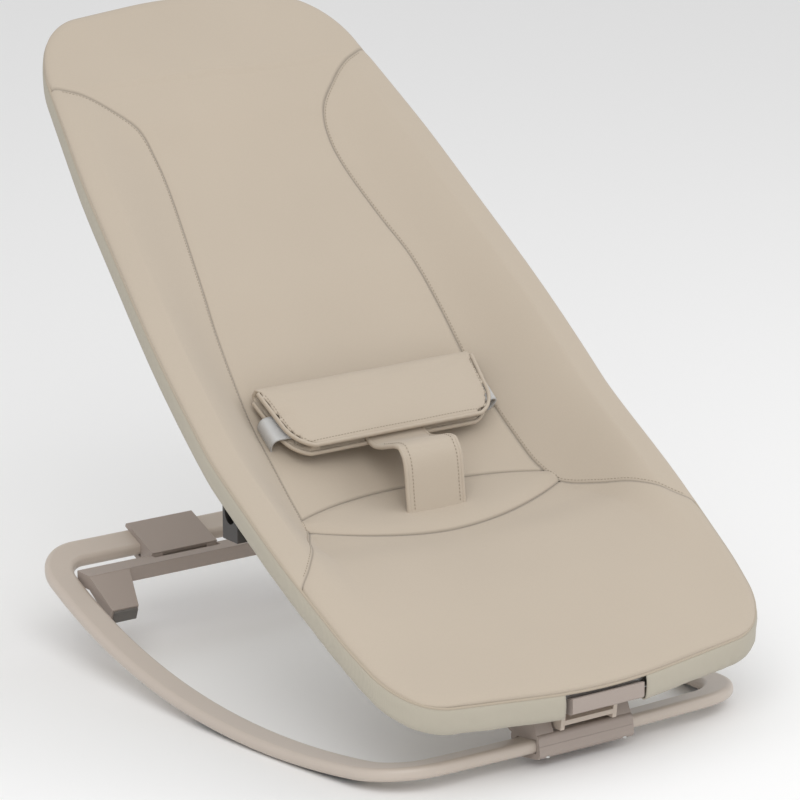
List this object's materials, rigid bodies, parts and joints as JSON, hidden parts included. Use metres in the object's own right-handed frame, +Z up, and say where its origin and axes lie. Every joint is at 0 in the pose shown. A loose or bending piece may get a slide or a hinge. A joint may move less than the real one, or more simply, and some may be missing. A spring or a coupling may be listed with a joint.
{
  "type": "baby bouncer seat",
  "caption": "Reclined baby bouncer seat on a curved rocking tube base, with a flip-down stand, a padded waist belt and a crotch strap.",
  "frame": {"origin": "bottom centre of the whole seat's bounding box, on the floor under the middle", "axes": "+Z up, -Y towards the foot end, +Y towards the head end, +X to the sitter's left (the viewer's right from the foot end)"},
  "size_m": [0.4478, 0.6482, 0.552],
  "materials": {
    "painted_tube": "satin beige-pink paint",
    "inner_steel": "plain drawn tube",
    "screw_steel": "zinc plated",
    "grip_rubber": "matte grey",
    "taupe_plastic": "fine textured",
    "pale_plastic": "fine textured",
    "black_plastic": "plain",
    "buckle_plastic": "plain",
    "cover_fabric": "smooth knitted, matte",
    "band_fabric": "smooth woven, matte",
    "piping_fabric": "smooth binding",
    "webbing": "woven polyester"
  },
  "bodies": {
    "base": {"base_tube_left": "painted_tube", "base_tube_right": "painted_tube", "front_tube_insert": "inner_steel", "rear_tube_insert": "inner_steel", "insert_screws": "screw_steel", "rocker_strip_left": "grip_rubber", "rocker_strip_right": "grip_rubber", "hub_lower_shell": "taupe_plastic", "hub_upper_shell": "taupe_plastic", "hub_screws": "screw_steel", "recline_axle": "screw_steel", "axle_nut": "screw_steel", "friction_washers": "black_plastic", "disc_springs": "screw_steel", "stand_bracket_upper_right": "taupe_plastic", "stand_bracket_upper_left": "taupe_plastic", "stand_bracket_lower_right": "taupe_plastic", "stand_bracket_lower_left": "taupe_plastic", "stand_bracket_screws": "screw_steel", "stand_pins": "screw_steel"},
    "seat": {"frame_foot_tube": "inner_steel", "frame_head_tube": "inner_steel", "frame_plug_right": "black_plastic", "frame_plug_left": "black_plastic", "frame_rivets": "screw_steel", "cross_tube": "inner_steel", "cross_saddle_right": "black_plastic", "cross_saddle_left": "black_plastic", "support_arm": "pale_plastic", "arm_bushes": "black_plastic", "cross_clamp": "black_plastic", "clamp_screws": "screw_steel", "seat_bracket_lower": "taupe_plastic", "seat_bracket_upper": "taupe_plastic", "bracket_screws": "screw_steel", "footrest_panel": "cover_fabric", "backrest_panel": "cover_fabric", "seat_pan_insert": "cover_fabric", "wing_right": "cover_fabric", "wing_left": "cover_fabric", "cover_underside": "band_fabric", "cover_side_band": "band_fabric", "cover_piping": "piping_fabric", "belt_pad": "cover_fabric", "buckle_body_right": "buckle_plastic", "buckle_body_left": "buckle_plastic", "buckle_tongue_right": "buckle_plastic", "buckle_tongue_left": "buckle_plastic", "buckle_spring_right": "screw_steel", "buckle_spring_left": "screw_steel", "belt_webbing": "webbing", "side_webbing_right": "webbing", "side_webbing_left": "webbing", "crotch_strap": "cover_fabric"},
    "stand": {"kickstand": "taupe_plastic", "kickstand_pads": "grip_rubber"},
    "button_left": {"buckle_button_left": "buckle_plastic"},
    "button_right": {"buckle_button_right": "buckle_plastic"}
  },
  "joints": [
    {"name": "seat_recline", "type": "hinge", "parent": "base", "child": "seat", "pos_m": [0, -0.26663, 0.046], "axis": [1, 0, 0], "range_deg": [-28, 0]},
    {"name": "stand_fold", "type": "hinge", "parent": "base", "child": "stand", "pos_m": [0, 0.19708, 0.06849], "axis": [1, 0, 0], "range_deg": [0, 70]},
    {"name": "buckle_press_right", "type": "slide", "parent": "seat", "child": "button_right", "axis": [0, 0.6115, -0.7912], "range_m": [0, 0.0015], "stiffness_N_per_m": 400, "deforming": ["buckle_spring_right"]},
    {"name": "buckle_press_left", "type": "slide", "parent": "seat", "child": "button_left", "axis": [0, 0.6115, -0.7912], "range_m": [0, 0.0015], "stiffness_N_per_m": 400, "deforming": ["buckle_spring_left"]}
  ]
}
